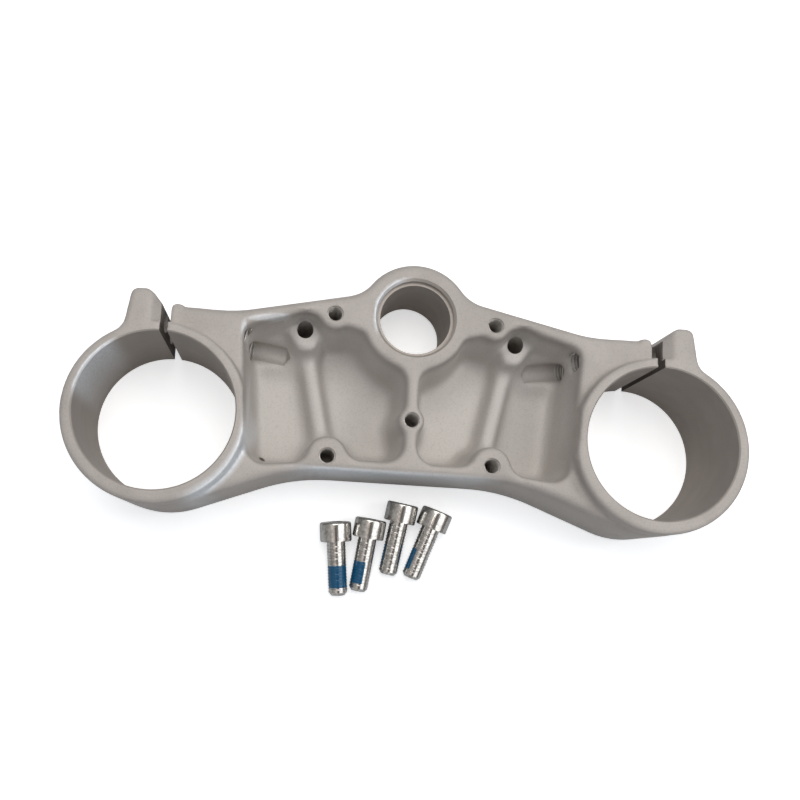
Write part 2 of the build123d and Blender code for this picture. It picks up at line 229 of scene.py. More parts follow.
class StageSettings(bpy.types.PropertyGroup):
    """Colour and light of the stage."""

    floor: colour("Floor", "Colour of the floor", (0.92, 0.92, 0.92, 1.0))
    bounce: colour("Bounce", "Colour of the floor as the object meets it", (0.76, 0.76, 0.76, 1.0))
    glow: amount("Glow", "How much the floor whitens towards the camera", 0.55)
    key: amount("Key light", "Power of the overhead light in watts", 4.5)
    side: amount("Side light", "Power of the light at the right in watts", 1.3)
    front: amount("Front light", "Power of the light in front in watts", 0.2)
    band_gain: amount("Band gain", "Strength of the mirrored bands", 2.2)
    sky: amount("Sky", "Strength of the surrounding light", 0.37)


def new_object(name, data):
    """A linked object for a mesh, a light or a camera, at the origin."""
    made = bpy.data.objects.new(name, data)
    bpy.context.scene.collection.objects.link(made)
    return made


def add_turned(work, profile, place, axis=UP, sides=96):
    """Adds a closed solid turned about an axis from (radius, distance) points, with radius 0 at both ends."""
    matrix = Matrix.Translation(place) @ Vector(axis).to_track_quat("Z", "Y").to_matrix().to_4x4()
    turns = [2 * pi * step / sides for step in range(sides)]
    rings = []
    for radius, distance in profile:
        spots = [(radius * cos(turn), radius * sin(turn), distance) for turn in (turns if radius else (0,))]
        rings.append([work.verts.new(matrix @ Vector(spot)) for spot in spots])
    for low, high in zip(rings, rings[1:]):
        for step in range(sides):
            after = (step + 1) % sides
            corners = [low[step % len(low)], low[after % len(low)],
                       high[after % len(high)], high[step % len(high)]]
            work.faces.new(list(dict.fromkeys(corners)))


def add_cylinder(work, radius, low, high, place=ORIGIN, sides=96):
    """Adds an upright cylinder between two heights, at a place in plan."""
    profile = ((0, low), (radius, low), (radius, high), (0, high))
    add_turned(work, profile, (place[0], place[1], 0), sides=sides)


def add_box(work, low, high):
    """Adds a closed box between two corners."""
    made = bmesh.ops.create_cube(work, size=1.0)["verts"]
    size = Vector(high) - Vector(low)
    place = Matrix.Translation((Vector(low) + Vector(high)) / 2) @ Matrix.Diagonal((*size, 1.0))
    bmesh.ops.transform(work, matrix=place, verts=made)


def mesh_of(work, name):
    """A mesh from a bmesh, which is freed."""
    bmesh.ops.triangulate(work, faces=work.faces)
    mesh = bpy.data.meshes.new(name)
    work.to_mesh(mesh)
    work.free()
    return mesh


def applied(made):
    """Turns an object's modifiers into its own plain mesh."""
    graph = bpy.context.evaluated_depsgraph_get()
    graph.update()
    mesh = bpy.data.meshes.new_from_object(made.evaluated_get(graph))
    made.modifiers.clear()
    made.data = mesh
    return made


def cut(made, work, name):
    """Takes the solids of a bmesh out of an object."""
    tool = new_object(name, mesh_of(work, name))
    step = made.modifiers.new(name, "BOOLEAN")
    step.operation = "DIFFERENCE"
    step.solver = "MANIFOLD"
    step.object = tool
    applied(made)
    bpy.data.objects.remove(tool)
    if not made.data.polygons:
        raise RuntimeError(f"nothing is left of {made.name} after the cut {name}")


def points_of(mesh):
    """The points of a mesh as an array."""
    flat = np.empty(len(mesh.vertices) * 3, np.float64)
    mesh.vertices.foreach_get("co", flat)
    return flat.reshape(-1, 3)


def put_points(mesh, points):
    """Moves the points of a mesh to the places in an array."""
    mesh.vertices.foreach_set("co", points.astype(np.float32).ravel())
    mesh.update()


def note_share(mesh, name, share):
    """Notes a number from 0 to 1 on each point of a mesh."""
    mark = mesh.attributes.new(name, "FLOAT", "POINT")
    mark.data.foreach_set("value", np.clip(share, 0, 1).astype(np.float32))


def soften(mesh, passes, weight):
    """Draws each point towards the middle of its neighbours, by its own weight, a number of times."""
    points = points_of(mesh)
    pairs = np.empty(len(mesh.edges) * 2, np.int64)
    mesh.edges.foreach_get("vertices", pairs)
    first, second = pairs[0::2], pairs[1::2]
    total = len(points)
    links = np.bincount(first, minlength=total) + np.bincount(second, minlength=total)
    for _ in range(passes):
        for part in range(3):
            line = points[:, part]
            drawn = np.bincount(first, line[second], total) + np.bincount(second, line[first], total)
            points[:, part] = line + 0.5 * weight * (drawn / links - line)
    put_points(mesh, points)


def slit_middle(look):
    """Distance of each slit's middle from the stem's axis."""
    return FORK_X - look.slit_inboard


def pinch_axis(look, side, upper):
    """Place at the middle of the slit and outward direction of one pinch hole."""
    height = look.height / 2 + (look.pinch_spacing if upper else -look.pinch_spacing) / 2
    place = Vector((side * slit_middle(look), -look.pinch_offset, height))
    return place, Vector((side * cos(look.pinch_angle), sin(look.pinch_angle), 0))


def pinch_axes(look):
    """Place and outward direction of each of the four pinch holes."""
    return [pinch_axis(look, side, upper) for side in SIDES for upper in (False, True)]


def face_holes(look):
    """Places of the tapped holes in the face, at the height of the face."""
    x, y = MOUNTS["fender_holes"]["pos_m"][:2]
    half_x = mount_size("fender_holes", "spacing_x_mm") / 2
    half_y = mount_size("fender_holes", "spacing_y_mm") / 2
    signs = [(across, along) for across in SIDES for along in SIDES]
    places = [Vector((x + across * half_x, y + along * half_y, look.face)) for across, along in signs]
    return places + [Vector((*MOUNTS["centre_hole"]["pos_m"][:2], look.face))]


def deep_holes():
    """Places of the deep holes, at the height of the bed."""
    half = mount_size("deep_holes", "spacing_x_mm") / 2
    return [Vector((side * half, MOUNTS["deep_holes"]["pos_m"][1], 0)) for side in SIDES]


def plan_distance(points, place=ORIGIN):
    """Distance of each point from an upright axis."""
    return np.hypot(points[:, 0] - place[0], points[:, 1] - place[1])


def turn_between(turns, middle):
    """Angle between each turn and a middle one, whichever way round is the shorter."""
    return np.abs((turns - middle + pi) % (2 * pi) - pi)


def smooth_step(value, low, high):
    """0 below a value, 1 above another, and smooth between."""
    part = np.clip((value - low) / (high - low), 0, 1)
    return part * part * (3 - 2 * part)


def near_pocket(points):
    """True for each point that is inside the pockets or on their walls."""
    front_y, front_flat, front_slope = -0.0602, 0.026, 0.135
    peak_y, far_slope, far_wall = 0.0111, 0.2217, 0.0002
    fork_side, fork_slope = 0.0652, 0.091
    stem_land, bottom = 0.0180, 0.004
    x, y = np.abs(points[:, 0]), points[:, 1]
    near = y > front_y - np.maximum(0, x - front_flat) * front_slope
    far = y < np.minimum(peak_y - x * far_slope, 0.0) - far_wall
    fork = x < fork_side + (y - FORK_Y) * fork_slope
    return near & far & fork & (plan_distance(points) > stem_land) & (points[:, 2] > bottom)


def near_slit(points, look):
    """True for each point that is close to a slit, whose edges stay crisp."""
    reach, end_y = 0.0008, -0.0045
    beside = np.abs(np.abs(points[:, 0]) - slit_middle(look)) < look.slit / 2 + reach
    return beside & (points[:, 1] > SLIT_START_Y) & (points[:, 1] < end_y)


def draw_out(mesh, look):
    """Draws the far edge and the wall behind each deep hole out, and the lug's inner far corner in."""
    points = points_of(mesh)
    x, y, z = np.abs(points[:, 0]), points[:, 1], points[:, 2]
    hole, hole_reach, hole_wall = deep_holes()[1], 0.005, (0.0005, 0.0025)
    upper_wall, upper_loss = (0.028, look.face), 0.7
    behind = np.exp(-((x - hole.x) / hole_reach) ** 2) * smooth_step(y - hole.y, *hole_wall)
    behind *= near_pocket(points) * (z > look.shelf - MM) * (1 - upper_loss * smooth_step(z, *upper_wall))
    y += look.hole_room * behind
    beam_rise, beam_fall, beam_edge = (0.064, 0.086), (0.0905, 0.0945), (-0.010, -0.0035)
    beam_end = smooth_step(x, *beam_rise) * (1 - smooth_step(x, *beam_fall))
    y += look.far_edge_shift * beam_end * smooth_step(y, *beam_edge)
    lug_start, corner_reach, lug_edge = slit_middle(look) + look.slit / 2, 0.0062, (-0.010, 0.001)
    corner = (x > slit_middle(look)) * (1 - smooth_step(x, lug_start, lug_start + corner_reach))
    y -= look.lug_corner_shift * corner * smooth_step(y, *lug_edge)
    put_points(mesh, np.clip(points, *CAD_BOX))


def add_rib(work, look, side):
    """Adds the rib between the deep hole and the near tapped hole, with sloping flanks."""
    far = Vector((side * 0.0424, -0.0085, 0))
    near = Vector((side * 0.0330, -0.0510, 0))
    flank_slope = 0.25
    along = (near - far).normalized()
    across = Vector((-along.y, along.x, 0))
    low = look.floor - MM
    foot = look.rib_top + (look.rib_height - low) * flank_slope
    section = ((-foot, low), (foot, low), (look.rib_top, look.rib_height), (-look.rib_top, look.rib_height))
    ends = []
    for place in (far, near):
        corners = [place + across * shift + Vector((0, 0, height)) for shift, height in section]
        ends.append([work.verts.new(corner) for corner in corners])
    for step in range(4):
        after = (step + 1) % 4
        work.faces.new((ends[0][step], ends[0][after], ends[1][after], ends[1][step]))
    work.faces.new(reversed(ends[0]))
    work.faces.new(ends[1])


def filled_casting(look):
    """The clamp, its ribs and the plugs of its machined holes, as closed solids that the grid makes one."""
    work = bmesh.new()
    work.from_mesh(frame["nodes"]["clamp_body"].data)
    bmesh.ops.remove_doubles(work, verts=work.verts, dist=1e-6)
    radius = FORK_RADIUS + look.bore_chamfer + PLUG_ROOM
    for side in SIDES:
        add_cylinder(work, radius, 0, look.height, (side * FORK_X, FORK_Y))
    add_cylinder(work, look.stem_step + look.stem_chamfer + 2 * PLUG_ROOM, 0, look.face)
    low = look.face - look.hole_depth - 5 * PLUG_ROOM
    for place in face_holes(look):
        add_cylinder(work, FACE_HOLE_RADIUS + look.hole_chamfer + PLUG_ROOM, low, look.face, place)
    for place in deep_holes():
        add_cylinder(work, DEEP_HOLE_RADIUS + PLUG_ROOM, 0, look.shelf, place)
    for side in SIDES:
        add_rib(work, look, side)
    beside_slit = 0.0009
    start, end = look.slit / 2 + beside_slit, look.lug_length
    seat = end - look.seat_depth - 2 * PLUG_ROOM
    clear, wide = look.clear_radius + PLUG_ROOM, look.seat_radius + PLUG_ROOM
    plug = ((0, start), (clear, start), (clear, seat), (wide, seat), (wide, end), (0, end))
    for place, axis in pinch_axes(look):
        add_turned(work, plug, place, axis)
    return mesh_of(work, "casting")


def with_mouth(profile, radius, top, chamfer):
    """A tool's profile that goes on from its last point to a chamfered mouth at a height."""
    return (*profile, (radius, top - chamfer), (radius + chamfer + OVER, top + OVER), (0, top + OVER))


def bore_tools(look):
    """Tools of the fork bores, the stem bore, the tapped holes in the face and the deep holes."""
    work = bmesh.new()
    fork = with_mouth(((0, -OVER), (FORK_RADIUS, -OVER)), FORK_RADIUS, look.height, look.bore_chamfer)
    for side in SIDES:
        add_turned(work, fork, (side * FORK_X, FORK_Y, 0), sides=288)
    relief, depth = mount_size("stem_relief", "r_mm"), mount_size("stem_relief", "length_mm")
    ledge = look.face - look.stem_step_depth
    stem = ((0, -OVER), (relief, -OVER), (relief, depth), (STEM_RADIUS, depth), (STEM_RADIUS, ledge),
            (look.stem_step, ledge))
    add_turned(work, with_mouth(stem, look.stem_step, look.face, look.stem_chamfer), ORIGIN, sides=192)
    low, point_share = look.face - look.hole_depth, 0.6
    tapped = ((0, low), (FACE_HOLE_RADIUS, low + FACE_HOLE_RADIUS * point_share))
    tapped = with_mouth(tapped, FACE_HOLE_RADIUS, look.face, look.hole_chamfer)
    for place in face_holes(look):
        add_turned(work, tapped, (place.x, place.y, 0), sides=64)
    for place in deep_holes():
        add_cylinder(work, DEEP_HOLE_RADIUS, -OVER, look.face + OVER, place, sides=64)
    return work


def slit_tools(look):
    """Tools that open the slits again where the plugs of the fork bores closed them."""
    work = bmesh.new()
    wall, before, past = FORK_Y + FORK_RADIUS, 0.003, 0.0015
    for side in SIDES:
        left = side * slit_middle(look) - look.slit / 2
        add_box(work, (left, wall - before, -OVER), (left + look.slit, wall + past, look.height + OVER))
    return work


def pinch_tools(look):
    """Tools of the pinch holes: tapped up to the slit, then clear, then the head's seat."""
    work = bmesh.new()
    tapped, clear, wide = look.tapped_radius, look.clear_radius, look.seat_radius
    start, seat, end = -look.tapped_length, look.lug_length - look.seat_depth, look.lug_length + OVER
    drill = ((0, start - OVER), (tapped, start), (tapped, 0), (clear, 0), (clear, seat), (wide, seat),
             (wide, end), (0, end))
    for place, axis in pinch_axes(look):
        add_turned(work, drill, place, axis, sides=72)
    return work


def surface_kinds(mesh, look):
    """For each face 1 on bores, chamfers and holes, 2 on the walls of the slits, and 0 elsewhere."""
    centre = np.empty((len(mesh.polygons), 3))
    normal = np.empty_like(centre)
    mesh.polygons.foreach_get("center", centre.ravel())
    mesh.polygons.foreach_get("normal", normal.ravel())
    chamfer_share, hole_slack, slit_slack, sideways = 0.95, 1.01, 0.0004, 0.8
    machined = plan_distance(centre) < look.stem_step + look.stem_chamfer * chamfer_share
    for side in SIDES:
        reach = FORK_RADIUS + look.bore_chamfer * chamfer_share
        machined |= plan_distance(centre, (side * FORK_X, FORK_Y)) < reach
    for place in face_holes(look):
        machined |= plan_distance(centre, place) < FACE_HOLE_RADIUS + look.hole_chamfer * chamfer_share
    for place in deep_holes():
        machined |= plan_distance(centre, place) < DEEP_HOLE_RADIUS * hole_slack
    sawn = np.abs(np.abs(centre[:, 0]) - slit_middle(look)) < look.slit / 2 + slit_slack
    sawn &= (centre[:, 1] > SLIT_START_Y) & (np.abs(normal[:, 0]) > sideways)
    return np.where(sawn, 2, np.where(machined, 1, 0))


def arc_mark(points, centre, radii, degrees, soft):
    """How much each point lies in an arc about a centre, between two radii and two angles."""
    start, end = radians(degrees[0]), radians(degrees[1])
    radius = plan_distance(points, centre)
    turn = np.arctan2(points[:, 1] - centre[1], points[:, 0] - centre[0])
    inner = smooth_step(radius, radii[0] - soft, radii[0] + soft)
    outer = smooth_step(radius, radii[1] - soft, radii[1] + soft)
    aside = turn_between(turn, (start + end) / 2) / (end - start) * 2
    return inner * (1 - outer) * (1 - smooth_step(aside, 0.5, 1.0))


def spot_mark(points, place, size, turn=0.0):
    """How much each point lies in an oblong spot."""
    away = points[:, :2] - np.array(place)
    along = away[:, 0] * cos(turn) + away[:, 1] * sin(turn)
    across = away[:, 1] * cos(turn) - away[:, 0] * sin(turn)
    return 1 - smooth_step(np.hypot(along / size[0], across / size[1]), 0.6, 1.1)


def note_marks(mesh):
    """Notes on the mesh where painted highlights lie along rims and edges, where it is stained, and where the
    pockets are painted paler low down as painted light.
    """
    points = points_of(mesh)
    x, y, z = points.T
    left_bore = (-FORK_X, FORK_Y)
    collar_foot = arc_mark(points, left_bore, (0.0332, 0.0366), (-76, 14), 0.0014)
    bore_rim = arc_mark(points, left_bore, (FORK_RADIUS - 0.0002, FORK_RADIUS + 0.0009), (118, 178), 0.0002)
    stem_rim = arc_mark(points, ORIGIN, (0.0152, 0.0164), (95, 215), 0.0002)
    pocket_rim = spot_mark(points, (-0.0575, -0.0040), (0.0095, 0.0014), 0.16) * 0.55
    pocket_rim += spot_mark(points, (-0.0667, -0.0092), (0.0012, 0.0040)) * 0.45
    front_edge = smooth_step(z, 0.027, 0.031) * (1 - smooth_step(y, -0.0616, -0.0606))
    front_edge *= 1 - smooth_step(np.abs(x + 0.006), 0.022, 0.045)
    # Painted highlights: streaks on the collar's foot, the bore and stem rims, a pocket rim and the front
    # edge
    bright = collar_foot * 0.9 + bore_rim * (z > 0.0385) + stem_rim * 0.9 * (z > 0.033)
    bright += pocket_rim * (z > 0.030) + front_edge * 0.9
    stain = spot_mark(points, (-0.0574, -0.0565), (0.0016, 0.0007), -0.5)
    for place in ((-0.0478, -0.0290), (-0.0478, -0.0388)):
        stain += spot_mark(points, place, (0.0005, 0.0004))
    note_share(mesh, "bright", bright)
    note_share(mesh, "stain", stain)
    # Painted light: notes the lower part of each pocket, which is painted paler for the light there
    note_share(mesh, "pale", near_pocket(points) * (1 - smooth_step(z, 0.026, 0.0335)))


def shader(name, roughness, metallic):
    """A new material, its tree and its surface shader."""
    made = bpy.data.materials.new(name)
    made.use_nodes = True
    tree = made.node_tree
    surface = tree.nodes["Principled BSDF"]
    surface.inputs["Roughness"].default_value = roughness
    surface.inputs["Metallic"].default_value = metallic
    return made, tree, surface


def feed(tree, value, target):
    """Links a socket to its target, or sets the target to a plain value."""
    if isinstance(value, bpy.types.NodeSocket):
        tree.links.new(value, target)
    else:
        target.default_value = value


def wire(tree, *links):
    """Joins pairs of sockets."""
    for source, target in links:
        tree.links.new(source, target)


def noise_field(tree, size, detail=2.0, rough=0.5, stretch=(1, 1, 1)):
    """A noise over the object's own coordinates with grains of about a size in metres."""
    place = tree.nodes.new("ShaderNodeTexCoord")
    scale = tree.nodes.new("ShaderNodeMapping")
    scale.inputs["Scale"].default_value = stretch
    field = tree.nodes.new("ShaderNodeTexNoise")
    field.inputs["Scale"].default_value = 1 / size
    field.inputs["Detail"].default_value = detail
    field.inputs["Roughness"].default_value = rough
    wire(tree,
         (place.outputs["Object"], scale.inputs["Vector"]),
         (scale.outputs["Vector"], field.inputs["Vector"]))
    return field.outputs["Fac"]


def ramp(tree, value, stops):
    """A colour ramp over a value, with (position, colour) stops."""
    made = tree.nodes.new("ShaderNodeValToRGB")
    made.color_ramp.elements[0].position, made.color_ramp.elements[0].color = stops[0]
    made.color_ramp.elements[1].position, made.color_ramp.elements[1].color = stops[-1]
    for position, tone in stops[1:-1]:
        made.color_ramp.elements.new(position).color = tone
    tree.links.new(value, made.inputs["Fac"])
    return made.outputs["Color"]


def spread(tree, value, start, end, low=0.0, high=1.0):
    """A number that goes from a start to an end while a value goes from low to high."""
    made = tree.nodes.new("ShaderNodeMapRange")
    for name, number in (("From Min", low), ("From Max", high), ("To Min", start), ("To Max", end)):
        made.inputs[name].default_value = number
    tree.links.new(value, made.inputs["Value"])
    return made.outputs["Result"]


def blend_colours(tree, mode, factor, first, second):
    """A colour mix of two sockets or colours."""
    made = tree.nodes.new("ShaderNodeMix")
    made.data_type = "RGBA"
    made.blend_type = mode
    sockets = {socket.identifier: socket for socket in made.inputs}
    for key, value in (("Factor_Float", factor), ("A_Color", first), ("B_Color", second)):
        feed(tree, value, sockets[key])
    return next(socket for socket in made.outputs if socket.identifier == "Result_Color")


def number_step(tree, operation, first, second):
    """An operation on two numbers."""
    made = tree.nodes.new("ShaderNodeMath")
    made.operation = operation
    feed(tree, first, made.inputs[0])
    feed(tree, second, made.inputs[1])
    return made.outputs["Value"]


def mesh_note(tree, name):
    """A number that the mesh notes on its points."""
    made = tree.nodes.new("ShaderNodeAttribute")
    made.attribute_name = name
    return made.outputs["Fac"]


def bump(tree, surface, height, strength, distance):
    """Bump on a surface from a height."""
    made = tree.nodes.new("ShaderNodeBump")
    made.inputs["Strength"].default_value = strength
    made.inputs["Distance"].default_value = distance
    wire(tree, (height, made.inputs["Height"]), (made.outputs["Normal"], surface.inputs["Normal"]))


def scaled(tone, share):
    """A colour made darker or lighter by a share."""
    return [channel * share for channel in tone[:3]] + [1.0]


def grey(value):
    """A grey of a given value."""
    return (value, value, value, 1.0)


def marked_tone(tree, surface, look, tone, roughness):
    """Gives a surface its tone and roughness, with the painted highlights, which are also smoother, and the
    stained places in them.
    """
    highlight_breakup = number_step(tree, "ADD", noise_field(tree, 0.0012, detail=3.0, rough=0.6), 0.45)
    painted_highlight = number_step(tree, "MULTIPLY", mesh_note(tree, "bright"), highlight_breakup)
    # Painted highlight: the highlight tone is mixed in where the mesh notes it, broken up by noise
    tone = blend_colours(tree, "MIX", painted_highlight, tone, look.highlight_tone)
    tone = blend_colours(tree, "MIX", mesh_note(tree, "stain"), tone, look.stain_tone)
    wire(tree,
         (tone, surface.inputs["Base Color"]),
         (spread(tree, painted_highlight, roughness, 0.28), surface.inputs["Roughness"]))


def blasted_material(look):
    """Blasted aluminium: a fine dark grain over soft clouds of tone, painted paler low in the pockets for the
    light that fills them.
    """
    made, tree, surface = shader("blasted_aluminium", roughness=0.58, metallic=0.2)
    clouds = noise_field(tree, 0.022, detail=3.0, rough=0.55)
    tone = ramp(tree, clouds, ((0.3, look.cast_dark), (0.55, look.cast_light)))
    # Painted light: the pockets are painted paler low down
    tone = blend_colours(tree, "MIX", mesh_note(tree, "pale"), tone, look.painted_pocket_light)
    grain = noise_field(tree, look.grain, rough=0.7)
    speck = ramp(tree, grain, ((0.32, grey(0.84)), (0.5, grey(1.0))))
    marked_tone(tree, surface, look, blend_colours(tree, "MULTIPLY", 0.8, tone, speck), roughness=0.58)
    bump(tree, surface, grain, strength=0.35, distance=0.00012)
    return made


def sawn_material(look):
    """The sawn walls of the slits, painted dark as the shade in the narrow slits, with fine lines of the saw.
    """
    made, tree, surface = shader("sawn_aluminium_painted_shade", roughness=0.6, metallic=0.2)
    lines = noise_field(tree, 0.003, stretch=(1, 1, 8))
    # Painted shade: the slit walls are dark in tone, with a little lighter streaks
    tone = ramp(tree, lines, ((0.35, look.slit_shade_tone), (0.7, scaled(look.slit_shade_tone, 1.9))))
    tree.links.new(tone, surface.inputs["Base Color"])
    bump(tree, surface, lines, strength=0.2, distance=0.0001)
    return made


def machined_material(look):
    """Machined aluminium of the bores: darker and smoother, in two near tones."""
    made, tree, surface = shader("machined_aluminium", roughness=0.5, metallic=0.3)
    clouds = noise_field(tree, 0.012, detail=3.0, rough=0.6, stretch=(1, 1, 2))
    tone = ramp(tree, clouds, ((0.3, scaled(look.bore_tone, 0.9)), (0.7, look.bore_tone)))
    marked_tone(tree, surface, look, tone, roughness=0.5)
    bump(tree, surface, noise_field(tree, 0.0006, rough=0.6), strength=0.2, distance=0.00006)
    return made


def thread_material(look):
    """Freshly cut aluminium of the threads, paler than the casting: partly the bright cut metal, partly
    painted light inside the dark holes.
    """
    made, tree, surface = shader("cut_thread", roughness=0.35, metallic=0.4)
    tone = ramp(tree, noise_field(tree, 0.0015), ((0.3, scaled(look.tone, 0.7)), (0.7, look.tone)))
    tree.links.new(tone, surface.inputs["Base Color"])
    return made


def screw_material(look):
    """Plated steel with a blue thread lock patch where the mesh says so."""
    made, tree, surface = shader("plated_steel", roughness=0.2, metallic=0.95)
    wear = noise_field(tree, 0.0016, detail=4.0, rough=0.65)
    tone = ramp(tree, wear, ((0.3, scaled(look.steel, 0.55)), (0.62, look.steel)))
    ragged = number_step(tree, "MULTIPLY", noise_field(tree, 0.0011, detail=3.0, rough=0.6), 0.5)
    ragged = number_step(tree, "ADD", ragged, mesh_note(tree, "patch"))
    cover = ramp(tree, ragged, ((0.70, grey(0.0)), (0.80, grey(1.0))))
    wire(tree,
         (blend_colours(tree, "MIX", cover, tone, look.patch), surface.inputs["Base Color"]),
         (spread(tree, cover, 0.95, 0.0), surface.inputs["Metallic"]),
         (spread(tree, wear, 0.22, 0.12, low=0.3, high=0.7), surface.inputs["Roughness"]))
    bump(tree, surface, wear, strength=0.05, distance=0.00003)
    return made


def tree_with(name, **inputs):
    """A geometry tree with inputs of each kind, its two end nodes, and the identifier of each input."""
    tree = bpy.data.node_groups.new(name, "GeometryNodeTree")
    tree.interface.new_socket("Geometry", in_out="OUTPUT", socket_type="NodeSocketGeometry")
    names = {}
    for kind, labels in inputs.items():
        for label in labels:
            socket = tree.interface.new_socket(label, in_out="INPUT", socket_type=f"NodeSocket{kind}")
            names[label] = socket.identifier
    return tree, tree.nodes.new("NodeGroupInput"), tree.nodes.new("NodeGroupOutput"), names


def vector_step(tree, operation, first, second):
    """An operation on two vectors, or on a vector and its scale."""
    made = tree.nodes.new("ShaderNodeVectorMath")
    made.operation = operation
    wire(tree, (first, made.inputs[0]), (second, made.inputs["Scale" if operation == "SCALE" else 1]))
    return made.outputs["Value" if operation == "DOT_PRODUCT" else "Vector"]


def spiral(tree, given, sides):
    """A spiral curve of the given radius, pitch and length that rises along Z."""
    made = tree.nodes.new("GeometryNodeCurveSpiral")
    turns = number_step(tree, "DIVIDE", given.outputs["Length"], given.outputs["Pitch"])
    made.inputs["Resolution"].default_value = sides
    wire(tree,
         (given.outputs["Radius"], made.inputs["Start Radius"]),
         (given.outputs["Radius"], made.inputs["End Radius"]),
         (given.outputs["Length"], made.inputs["Height"]),
         (turns, made.inputs["Rotations"]))
    return made.outputs["Curve"]


def ridge_on(tree, given, curve):
    """A round ridge along a curve, closed at its ends."""
    section = tree.nodes.new("GeometryNodeCurvePrimitiveCircle")
    section.inputs["Resolution"].default_value = 8
    body = tree.nodes.new("GeometryNodeCurveToMesh")
    body.inputs["Fill Caps"].default_value = True
    wire(tree,
         (given.outputs["Ridge"], section.inputs["Radius"]),
         (curve, body.inputs["Curve"]),
         (section.outputs["Curve"], body.inputs["Profile Curve"]))
    return body.outputs["Mesh"]


def finish_tree(tree, given, result, geometry):
    """Ends a tree with real geometry that has the given material."""
    real = tree.nodes.new("GeometryNodeRealizeInstances")
    paint = tree.nodes.new("GeometryNodeSetMaterial")
    wire(tree,
         (geometry, real.inputs["Geometry"]),
         (real.outputs["Geometry"], paint.inputs["Geometry"]),
         (given.outputs["Material"], paint.inputs["Material"]),
         (paint.outputs["Geometry"], result.inputs["Geometry"]))


def hole_thread_tree():
    """A thread's ridge on the wall of a hole, left out where the hole has no wall."""
    tree, given, result, names = tree_with(
        "hole_thread", Object=("Clamp",), Vector=("Place", "Axis"), Material=("Material",),
        Float=("Radius", "Length", "Pitch", "Ridge", "Reach"))
    turn = tree.nodes.new("FunctionNodeAlignRotationToVector")
    turn.axis = "Z"
    put = tree.nodes.new("GeometryNodeTransform")
    where = tree.nodes.new("GeometryNodeInputPosition").outputs["Position"]
    away = vector_step(tree, "SUBTRACT", where, given.outputs["Place"])
    along = vector_step(tree, "DOT_PRODUCT", away, given.outputs["Axis"])
    rise = vector_step(tree, "SCALE", given.outputs["Axis"], along)
    foot = vector_step(tree, "ADD", given.outputs["Place"], rise)
    solid = tree.nodes.new("GeometryNodeObjectInfo")
    ray = tree.nodes.new("GeometryNodeRaycast")
    missing = tree.nodes.new("FunctionNodeBooleanMath")
    missing.operation = "NOT"
    trim = tree.nodes.new("GeometryNodeDeleteGeometry")
    wire(tree,
         (given.outputs["Axis"], turn.inputs["Vector"]),
         (spiral(tree, given, 28), put.inputs["Geometry"]),
         (given.outputs["Place"], put.inputs["Translation"]),
         (turn.outputs["Rotation"], put.inputs["Rotation"]),
         (given.outputs["Clamp"], solid.inputs["Object"]),
         (solid.outputs["Geometry"], ray.inputs["Target Geometry"]),
         (foot, ray.inputs["Source Position"]),
         (vector_step(tree, "SUBTRACT", where, foot), ray.inputs["Ray Direction"]),
         (given.outputs["Reach"], ray.inputs["Ray Length"]),
         (ray.outputs["Is Hit"], missing.inputs[0]),
         (put.outputs["Geometry"], trim.inputs["Geometry"]),
         (missing.outputs["Boolean"], trim.inputs["Selection"]))
    finish_tree(tree, given, result, ridge_on(tree, given, trim.outputs["Geometry"]))
    return tree, names


def screw_dress_tree():
    """The ribs of a screw's head and the ridge of its thread, along Z from the head's top."""
    tree, given, result, names = tree_with(
        "screw_dress", Int=("Ribs",), Material=("Material",),
        Float=("Head", "Rib width", "Rib height", "Rib length", "Rib middle",
               "Radius", "Length", "Pitch", "Ridge", "Start"))
    ring = tree.nodes.new("GeometryNodeMeshCircle")
    rib = tree.nodes.new("GeometryNodeMeshCylinder")
    rib.inputs["Vertices"].default_value = 4
    rib.inputs["Radius"].default_value = 1.0
    size = tree.nodes.new("ShaderNodeCombineXYZ")
    size.inputs["Z"].default_value = 1.0
    shape = tree.nodes.new("GeometryNodeTransform")
    outward = tree.nodes.new("FunctionNodeAlignRotationToVector")
    outward.axis = "X"
    outward.pivot_axis = "Z"
    lift = tree.nodes.new("ShaderNodeCombineXYZ")
    place = tree.nodes.new("GeometryNodeTransform")
    copies = tree.nodes.new("GeometryNodeInstanceOnPoints")
    where = tree.nodes.new("GeometryNodeInputPosition").outputs["Position"]
    rise = tree.nodes.new("ShaderNodeCombineXYZ")
    put = tree.nodes.new("GeometryNodeTransform")
    both = tree.nodes.new("GeometryNodeJoinGeometry")
    wire(tree,
         (given.outputs["Ribs"], ring.inputs["Vertices"]),
         (given.outputs["Head"], ring.inputs["Radius"]),
         (given.outputs["Rib length"], rib.inputs["Depth"]),
         (given.outputs["Rib height"], size.inputs["X"]),
         (given.outputs["Rib width"], size.inputs["Y"]),
         (rib.outputs["Mesh"], shape.inputs["Geometry"]),
         (size.outputs["Vector"], shape.inputs["Scale"]),
         (where, outward.inputs["Vector"]),
         (ring.outputs["Mesh"], copies.inputs["Points"]),
         (shape.outputs["Geometry"], copies.inputs["Instance"]),
         (outward.outputs["Rotation"], copies.inputs["Rotation"]),
         (given.outputs["Rib middle"], lift.inputs["Z"]),
         (copies.outputs["Instances"], place.inputs["Geometry"]),
         (lift.outputs["Vector"], place.inputs["Translation"]),
         (given.outputs["Start"], rise.inputs["Z"]),
         (ridge_on(tree, given, spiral(tree, given, 32)), put.inputs["Geometry"]),
         (rise.outputs["Vector"], put.inputs["Translation"]),
         (place.outputs["Geometry"], both.inputs["Geometry"]),
         (put.outputs["Geometry"], both.inputs["Geometry"]))
    finish_tree(tree, given, result, both.outputs["Geometry"])
    return tree, names


